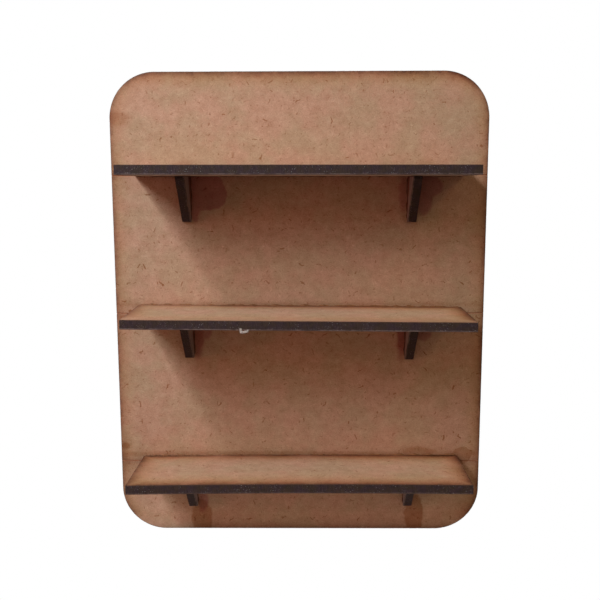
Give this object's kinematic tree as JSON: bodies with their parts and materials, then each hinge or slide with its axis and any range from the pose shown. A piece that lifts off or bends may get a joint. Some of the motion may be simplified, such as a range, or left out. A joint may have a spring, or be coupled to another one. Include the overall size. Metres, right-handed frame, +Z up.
{
  "type": "paint rack",
  "caption": "Small wall rack for paint bottles: a rounded back panel with narrow shelves glued to its front, each held by triangular brackets.",
  "frame": {"origin": "middle of the back panel's rear face, so the wall is the plane Y = 0", "axes": "+Z up, -Y towards the front where the shelves stand out, +X to the right of a person facing the front"},
  "size_m": [0.25, 0.0664, 0.315],
  "materials": {
    "panel_board": "raw medium-density fibreboard, matt, laser-burnt edges",
    "shelf_board": "raw medium-density fibreboard, matt, laser-burnt edges",
    "bracket_board": "raw medium-density fibreboard darkened by smoke, laser-burnt edges"
  },
  "bodies": {
    "root": {"back_panel": "panel_board", "upper_shelf": "shelf_board", "middle_shelf": "shelf_board", "lower_shelf": "shelf_board", "upper_left_bracket": "bracket_board", "upper_right_bracket": "bracket_board", "middle_left_bracket": "bracket_board", "middle_right_bracket": "bracket_board", "lower_left_bracket": "bracket_board", "lower_right_bracket": "bracket_board"}
  },
  "joints": []
}
